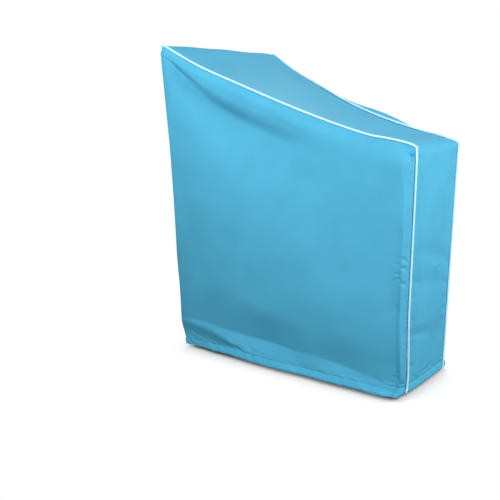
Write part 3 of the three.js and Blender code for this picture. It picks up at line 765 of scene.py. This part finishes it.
# The edges of a grid, each with the line of points next to it
EDGES = {
    "first": (np.s_[0], np.s_[1]), "last": (np.s_[-1], np.s_[-2]),
    "start": (np.s_[:, 0], np.s_[:, 1]), "end": (np.s_[:, -1], np.s_[:, -2]),
}


def set_back(grid, *edges):
    """Pulls edges of a grid back from the seams that they meet."""
    moved = grid.copy()
    for edge, inner in (EDGES[name] for name in edges):
        moved[edge] += EDGE_SET_BACK * unit(moved[inner] - moved[edge])
    return moved


def to_frame(points):
    """Cover coordinates in millimetres to the frame's metres."""
    return (points - np.array(CARRIED_AT)) / 1000


def placed(name, data):
    thing = bpy.data.objects.new(name, data)
    bpy.context.scene.collection.objects.link(thing)
    return thing


def new_object(name, points, faces, uvs=None):
    """A smooth mesh from points in cover coordinates. uvs holds one place per point, in mm."""
    mesh = bpy.data.meshes.new(name)
    mesh.from_pydata(to_frame(points).tolist(), [], faces)
    mesh.update()
    mesh.shade_smooth()
    if uvs is not None:
        corners = np.empty(len(mesh.loops), np.int32)
        mesh.loops.foreach_get("vertex_index", corners)
        layer = mesh.uv_layers.new(name="cloth")
        layer.uv.foreach_set("vector", (uvs[corners] / 1000).astype(np.float32).ravel())
    return placed(name, mesh)


def cloth_object(name, grid, facing, above_hem, a, b):
    """A closed thin cloth on a grid of points of the solid's middle surface.

    Gives the piece, and for its stitches the outer face, its normals and heights above the hem."""
    normals = grid_normals(grid, facing)
    outer = grid + normals * SHEET / 2
    doubled = smoothstep(above_hem - HEM_HEIGHT, *HEM_THINS)
    inner = outer - normals * (CLOTH + HEM_EXTRA * doubled)[:, :, None]
    rows, columns = grid.shape[:2]
    index = np.arange(rows * columns).reshape(rows, columns)
    quads = np.stack([index[:-1, :-1], index[1:, :-1], index[1:, 1:], index[:-1, 1:]], -1).reshape(-1, 4)
    rim = np.concatenate([index[:, 0], index[-1, 1:], index[-2::-1, -1], index[0, -2::-1]])
    rim_below = rim + rows * columns
    around = np.stack([rim[:-1], rim_below[:-1], rim_below[1:], rim[1:]], -1)
    faces = np.concatenate([quads, quads[:, ::-1] + rows * columns, around])
    if facing < 0:
        faces = faces[:, ::-1]
    points = np.concatenate([outer.reshape(-1, 3), inner.reshape(-1, 3)])
    uvs = np.tile(np.stack([a, b], -1).reshape(-1, 2), (2, 1))
    piece = new_object(name, points, faces.tolist(), uvs)
    return piece, (outer, normals, above_hem)


def side_panel(name, base, side):
    grid, a, up = finish_side_panel(base, side)
    return cloth_object(name, set_back(grid, "first", "last", "end"), -side["sign"], up, a, up)


def strip_panel(name, near_seam, far_seam):
    grid, across, along, up = finish_strip(*strip_grid(near_seam, far_seam))
    return cloth_object(name, set_back(grid, "start", "end"), -1, up, across, along)


def ring(middle, across, up, radius, sides):
    """Points of a circle."""
    angles = 2 * math.pi * np.arange(sides) / sides
    return middle + radius * (np.outer(np.cos(angles), across) + np.outer(np.sin(angles), up))


def tube_faces(first, rings, sides):
    """Faces of a closed tube of rings of points, counted from its first point."""
    index = first + np.arange(rings * sides).reshape(rings, sides)
    turned = np.roll(index, -1, axis=1)
    walls = np.stack([index[:-1], turned[:-1], turned[1:], index[1:]], -1).reshape(-1, 4)
    return [*walls.tolist(), index[0][::-1].tolist(), index[-1].tolist()]


def cord_line(seam, sides):
    """The cord's middle line, resting on the edges of the two cloths next to a seam.

    sides holds for each cloth the direction that leads into it from the seam, and its normal."""
    outward = sum(normal for _, normal in sides)
    kernel, more = np.ones(CORD_EVENED_OVER) / CORD_EVENED_OVER, CORD_EVENED_OVER // 2
    padded = np.concatenate([outward[:1].repeat(more, 0), outward, outward[-1:].repeat(more, 0)])
    outward = unit(np.stack([np.convolve(padded[:, k], kernel, "valid") for k in range(3)], 1))
    clear = CORD_RADIUS + CORD_GAP
    offsets = []
    for into, normal in sides:
        edge = EDGE_SET_BACK * into + SHEET / 2 * normal
        ahead = (outward * edge).sum(1)
        offsets.append(ahead + np.sqrt(ahead ** 2 - (edge ** 2).sum(1) + clear ** 2))
    return seam + outward * np.maximum(*offsets)[:, None]


def cord_object(name, line, radii):
    """A closed round cord along a line of points."""
    across = np.array([0.0, 1.0, 0.0])
    rings = []
    for point, tangent, radius in zip(line, unit(np.gradient(line, axis=0)), radii):
        across = unit(across - across.dot(tangent) * tangent)
        rings.append(ring(point, across, np.cross(tangent, across), radius, CORD_SIDES))
    round_cord = 2 * math.pi * CORD_RADIUS * np.arange(CORD_SIDES) / CORD_SIDES
    uvs = np.stack([np.tile(round_cord, len(line)), lengths_along(line).repeat(CORD_SIDES)], -1)
    return new_object(name, np.concatenate(rings), tube_faces(0, len(line), CORD_SIDES), uvs)


def piping(name, base, side, strip, strip_normals):
    """The covered cord in one seam, a little uneven. The strip starts at this seam."""
    seam = seam_line(base)
    inner = np.concatenate([base[-2], base[-2:0:-1, -2], base[1, ::-1]])
    into_panel = unit(inner - seam), seam_line(grid_normals(base, -side["sign"]))
    into_strip = unit(strip[:, 1] - strip[:, 0]), strip_normals[:, 0]
    line = cord_line(seam, [into_panel, into_strip])
    radii = CORD_RADIUS * (1 + CORD_UNEVEN * ripple(*CORD_RIPPLE)(lengths_along(line)))
    return cord_object(name, line, radii)


# One stitch of the hem in mm: length, thickness, distance to the next, and how far its middle
# stands over the cloth and its ends are sunk. Its rings: place along it, share of the thickness.
STITCH = {"length": 3.4, "thick": 0.75, "pitch": 4.4, "proud": 0.25, "sunk": 0.1}
STITCH_RINGS = ((-0.5, 0.25), (-0.38, 0.85), (0.0, 1.0), (0.38, 0.85), (0.5, 0.25))
STITCH_SIDES = 6


def at_places(places, along, points):
    """Points at some places along a line."""
    return np.stack([np.interp(places, along, points[:, k]) for k in range(3)], -1)


def stitch_row(outer, normals, above_hem):
    """Places, directions and normals of the stitches along a hem, on the cloth's outer face."""
    line = np.array([at_places(HEM_HEIGHT, *column) for column in zip(above_hem, outer)])
    ups = np.array([at_places(HEM_HEIGHT, *column) for column in zip(above_hem, normals)])
    along = lengths_along(line)
    places = np.arange(STITCH["pitch"] * 1.5, along[-1] - STITCH["pitch"], STITCH["pitch"])
    at = at_places(places, along, line)
    return at, unit(at_places(places + 1, along, line) - at), unit(at_places(places, along, ups))


def stitches_object(name, rows):
    """All stitches as one mesh of small rounded bars."""
    points, faces = [], []
    for at, ahead, up in rows:
        for place, way, high, side in zip(at, ahead, up, np.cross(up, ahead)):
            faces += tube_faces(len(points) * STITCH_SIDES, len(STITCH_RINGS), STITCH_SIDES)
            for share, thick in STITCH_RINGS:
                middle = place + way * share * STITCH["length"]
                middle = middle + high * (STITCH["proud"] * thick - STITCH["sunk"])
                points.append(ring(middle, side, high, STITCH["thick"] / 2 * thick, STITCH_SIDES))
    return new_object(name, np.concatenate(points), faces)


class Nodes:
    """Short calls for the nodes of a material or a world."""

    def __init__(self, owner):
        owner.use_nodes = True
        self.owner = owner
        self.tree = owner.node_tree

    def add(self, kind, values=None, **settings):
        node = self.tree.nodes.new(kind)
        for key, value in settings.items():
            setattr(node, key, value)
        self.fill(node, values or {})
        return node

    def fill(self, node, values):
        """Links or sets sockets of a node."""
        for key, value in values.items():
            if isinstance(value, bpy.types.NodeSocket):
                self.tree.links.new(value, node.inputs[key])
            else:
                node.inputs[key].default_value = value

    def finished(self, values):
        """The material, with its shader's own sockets filled."""
        self.fill(self.tree.nodes["Principled BSDF"], values)
        return self.owner

    def math(self, operation, a, b=0.0):
        return self.add("ShaderNodeMath", {0: a, 1: b}, operation=operation).outputs[0]

    def noise(self, place, scale, detail):
        values = {"Vector": place, "Scale": scale, "Detail": detail}
        return self.add("ShaderNodeTexNoise", values).outputs["Fac"]

    def body(self):
        return self.add("ShaderNodeTexCoord").outputs["Object"]

    def mapped(self, place, **values):
        return self.add("ShaderNodeMapping", {"Vector": place, **values}).outputs[0]

    def mixed(self, factor, low, high):
        """A colour between two colours."""
        values = {"Factor": factor, "A": (*low, 1.0), "B": (*high, 1.0)}
        return self.add("ShaderNodeMix", values, data_type="RGBA").outputs["Result"]

    def ranged(self, value, low, high, out_low=0.0, out_high=1.0):
        values = {"Value": value, 1: low, 2: high, 3: out_low, 4: out_high}
        return self.add("ShaderNodeMapRange", values).outputs["Result"]

    def bump(self, height, strength, distance, **below):
        values = {"Height": height, "Strength": strength, "Distance": distance, **below}
        return self.add("ShaderNodeBump", values).outputs["Normal"]

    def weave(self, place, pitch):
        """Height of a plain weave of a given thread pitch in metres, from 0 to 1."""
        parts = self.add("ShaderNodeSeparateXYZ", {"Vector": place})
        turn = math.pi / pitch
        warp = self.math("SINE", self.math("MULTIPLY", parts.outputs["X"], turn))
        weft = self.math("SINE", self.math("MULTIPLY", parts.outputs["Y"], turn))
        return self.ranged(self.math("MULTIPLY", warp, weft), -1.0, 1.0)


CLOTH_SHADE = np.array([0.075, 0.385, 0.580])
CLOTH_TONES = (0.93, 1.06)
THREAD_PITCH = 0.0006


def cloth_material():
    """Light blue coated polyester: plain weave, uneven yarns, faint mottling, soft sheen."""
    nodes = Nodes(bpy.data.materials.new("cover_cloth"))
    place = nodes.add("ShaderNodeUVMap", uv_map="cloth").outputs["UV"]
    mottle = nodes.noise(nodes.body(), 9.0, 3.0)
    crumple = nodes.noise(nodes.body(), 42.0, 4.0)
    warp = nodes.noise(nodes.mapped(place, Scale=(900.0, 26.0, 1.0)), 1.0, 1.0)
    weft = nodes.noise(nodes.mapped(place, Scale=(22.0, 900.0, 1.0)), 1.0, 1.0)
    yarns = nodes.math("ADD", warp, weft)
    uneven = nodes.math("ADD", nodes.math("MULTIPLY", yarns, 0.35), mottle)
    dark, light = (CLOTH_SHADE * tone for tone in CLOTH_TONES)
    fine = nodes.bump(nodes.weave(place, THREAD_PITCH), 0.22, 0.00018)
    slub = nodes.bump(yarns, 0.3, 0.0002, Normal=fine)
    return nodes.finished({
        "Base Color": nodes.mixed(nodes.ranged(uneven, 0.55, 1.15), dark, light),
        "Roughness": nodes.ranged(mottle, 0.3, 0.7, 0.52, 0.62),
        "Normal": nodes.bump(crumple, 0.2, 0.0008, Normal=slub),
        "Specular IOR Level": 0.06,
        "Sheen Weight": 0.03,
        "Sheen Roughness": 0.45,
        "Sheen Tint": (0.25, 0.65, 0.9, 1.0),
    })


def piping_material():
    """Near white piping: bias-cut weave, and small creases across the cord with painted shade in their
    hollows.
    """
    nodes = Nodes(bpy.data.materials.new("seam_piping"))
    place = nodes.add("ShaderNodeUVMap", uv_map="cloth").outputs["UV"]
    bias = nodes.mapped(place, Rotation=(0.0, 0.0, math.radians(45)))
    wrinkle = nodes.noise(nodes.mapped(bias, Scale=(60.0, 420.0, 1.0)), 1.0, 2.0)
    fine = nodes.bump(nodes.weave(bias, 0.0005), 0.25, 0.0002)
    # Painted shade: the colour follows the creases' bump, darker in their hollows and lighter on their
    # ridges
    tone = nodes.ranged(wrinkle, 0.3, 0.7)
    return nodes.finished({
        "Base Color": nodes.mixed(tone, (0.49, 0.79, 0.92), (0.58, 0.87, 0.98)),
        "Normal": nodes.bump(wrinkle, 0.4, 0.0004, Normal=fine),
        "Roughness": 0.6,
        "Sheen Weight": 0.1,
    })


def thread_material():
    """Polyester thread in the cloth's colour, with its twist and painted shade in the twist's grooves.
    """
    nodes = Nodes(bpy.data.materials.new("thread"))
    values = {"Vector": nodes.body(), "Scale": 900.0, "Distortion": 1.0}
    twist = nodes.add("ShaderNodeTexWave", values).outputs["Fac"]
    # Painted shade: the colour follows the twist's bump, darker in its grooves and lighter on its ridges
    return nodes.finished({
        "Base Color": nodes.mixed(twist, (0.05, 0.33, 0.52), (0.09, 0.45, 0.66)),
        "Normal": nodes.bump(twist, 0.3, 0.0001),
        "Roughness": 0.45,
    })


near_base, far_base = side_panel_grid(NEAR), side_panel_grid(FAR)
near_seam, far_seam = seam_line(near_base), seam_line(far_base)
near_cloth, near_hem = side_panel("cloth_side_near", near_base, NEAR)
far_cloth, far_hem = side_panel("cloth_side_far", far_base, FAR)
strip_cloth, strip_hem = strip_panel("cloth_strip", near_seam, far_seam)

# The strip without its folds, for the way into it from each seam
bare_strip = near_seam[:, None] + (far_seam - near_seam)[:, None] * np.linspace(0, 1, 9)[:, None]
bare_normals = grid_normals(bare_strip, -1)
near_piping = piping("piping_cord_near", near_base, NEAR, bare_strip, bare_normals)
far_piping = piping("piping_cord_far", far_base, FAR, bare_strip[:, ::-1], bare_normals[:, ::-1])

# The strip's two hems lie at its first and last rows
strip_ends = (slice(0, MAIN_ROWS + 1), slice(-1, -MAIN_ROWS - 2, -1))
end_hems = [[field[rows].swapaxes(0, 1) for field in strip_hem] for rows in strip_ends]
hem_rows = [stitch_row(*hem) for hem in (near_hem, far_hem, *end_hems)]
hem_stitches = stitches_object("hem_stitches", hem_rows)

cloth_finish = cloth_material()
piping_finish = piping_material()
for piece, finish, node in (
    (near_cloth, cloth_finish, "side_panel_near"),
    (far_cloth, cloth_finish, "side_panel_far"),
    (strip_cloth, cloth_finish, "gusset_strip"),
    (near_piping, piping_finish, "piping_near"),
    (far_piping, piping_finish, "piping_far"),
):
    piece.data.materials.append(finish)
    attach(piece, "root")
    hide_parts(node)
hem_stitches.data.materials.append(thread_material())
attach(hem_stitches, "root")

# Floor: a matt white one under the cover, which fades to even white round it. Its depth below the
# hem is in mm, the rest in the frame's metres.
FLOOR_BELOW_HEM = 26.0
FLOOR_HALF = 30.0
FLOOR_FADES = 0.12
FOOTPRINT = {"middle": (0.47, 0.0), "half": (0.53, 0.22)}


def floor_plane():
    mesh = bpy.data.meshes.new("floor")
    level = to_frame(np.array([0.0, 0.0, -FLOOR_BELOW_HEM]))[2]
    ways = ((-1, -1), (1, -1), (1, 1), (-1, 1))
    mesh.from_pydata([(x * FLOOR_HALF, y * FLOOR_HALF, level) for x, y in ways], [], [(0, 1, 2, 3)])
    mesh.update()
    mesh.materials.append(floor_material())
    floor = placed("floor", mesh)


def floor_material():
    nodes = Nodes(bpy.data.materials.new("floor"))
    nodes.tree.nodes.remove(nodes.tree.nodes["Principled BSDF"])
    white = nodes.add("ShaderNodeBsdfDiffuse", {"Color": (0.95, 0.95, 0.95, 1.0)}).outputs[0]
    even_white = nodes.add("ShaderNodeEmission", {"Strength": 1.0}).outputs[0]
    dim = nodes.add("ShaderNodeBsdfDiffuse", {"Color": (0.15, 0.15, 0.15, 1.0)}).outputs[0]
    place = nodes.body()
    for operation, others in (
        ("SUBTRACT", {1: (*FOOTPRINT["middle"], 0.0)}), ("ABSOLUTE", {}),
        ("SUBTRACT", {1: (*FOOTPRINT["half"], 100.0)}), ("MAXIMUM", {1: (0.0, 0.0, 0.0)}),
    ):
        step = nodes.add("ShaderNodeVectorMath", {0: place, **others}, operation=operation)
        place = step.outputs["Vector"]
    away = nodes.add("ShaderNodeVectorMath", {0: place}, operation="LENGTH").outputs["Value"]
    fade = nodes.ranged(away, 0.0, FLOOR_FADES)
    shown = nodes.add("ShaderNodeMixShader", {0: fade, 1: white, 2: even_white}).outputs[0]
    seen = nodes.add("ShaderNodeLightPath").outputs["Is Camera Ray"]
    both = nodes.add("ShaderNodeMixShader", {0: seen, 1: dim, 2: shown}).outputs[0]
    nodes.fill(nodes.tree.nodes["Material Output"], {"Surface": both})
    return nodes.owner


# Large soft lights on stands, in the frame's metres: place, aim, size and power in watts
LIGHTS = {
    "high": ((0.3, -1.6, 0.9), (0.4, 0, -0.5), 1.2, 11.5),
    "near": ((0.2, -2.0, 0), (0.4, 0, -0.4), 1.5, 15.5),
    "corner": ((2.3, -2.3, 0.45), (0.45, 0, -0.35), 1.5, 43),
    "low_end": ((2.6, -0.2, 0), (0.9, 0, -0.5), 1.2, 18),
    "low_end_far": ((2.4, 1.2, 0.1), (0.9, 0, -0.5), 1.2, 20),
    "far_side": ((-1.3, 2.3, 0.3), (0.5, 0, -0.6), 1.2, 30),
    "tall_end": ((-2.4, 1.1, -0.3), (0, 0, -0.6), 1.5, 20),
    "top": ((0.2, 1.4, 1.6), (0.4, 0, -0.3), 1.2, 16.5),
}
ROOM_LIGHT = 0.3


def area_light(name, place, aim, size, power):
    data = bpy.data.lights.new(name, "AREA")
    data.shape = "DISK"
    data.size = size
    data.energy = power
    lamp = placed(name, data)
    lamp.location = place
    way = np.array(aim) - np.array(place)
    tilt = math.acos(-way[2] / np.linalg.norm(way))
    lamp.rotation_euler = (tilt, 0.0, math.atan2(way[1], way[0]) - math.pi / 2)


def white_room():
    """Even light all round, which shows as white."""
    nodes = Nodes(bpy.data.worlds.new("studio"))
    nodes.tree.nodes.clear()
    seen = nodes.add("ShaderNodeLightPath").outputs["Is Camera Ray"]
    white = {"Color": (1.0, 1.0, 1.0, 1.0)}
    lit = nodes.add("ShaderNodeBackground", {**white, "Strength": ROOM_LIGHT}).outputs[0]
    shown = nodes.add("ShaderNodeBackground", {**white, "Strength": 1.0}).outputs[0]
    both = nodes.add("ShaderNodeMixShader", {0: seen, 1: lit, 2: shown}).outputs[0]
    nodes.add("ShaderNodeOutputWorld", {"Surface": both})
    bpy.context.scene.world = nodes.owner


# The photo's viewpoint: place in cover coordinates, lens in mm, angles in degrees
CAMERA = {"place": (1129.0, -2683.0, 1100.0), "lens": 53.06, "down": 11.461, "turn": 37.089}


def camera():
    data = bpy.data.cameras.new("camera")
    data.lens = CAMERA["lens"]
    data.clip_end = 100.0
    eye = placed("camera", data)
    eye.location = to_frame(np.array(CAMERA["place"]))
    eye.rotation_euler = (math.radians(90 - CAMERA["down"]), 0.0, math.radians(CAMERA["turn"]))
    bpy.context.scene.camera = eye


floor_plane()
white_room()
for name, light in LIGHTS.items():
    area_light(name, *light)
camera()
bpy.context.scene.view_settings.view_transform = "Standard"
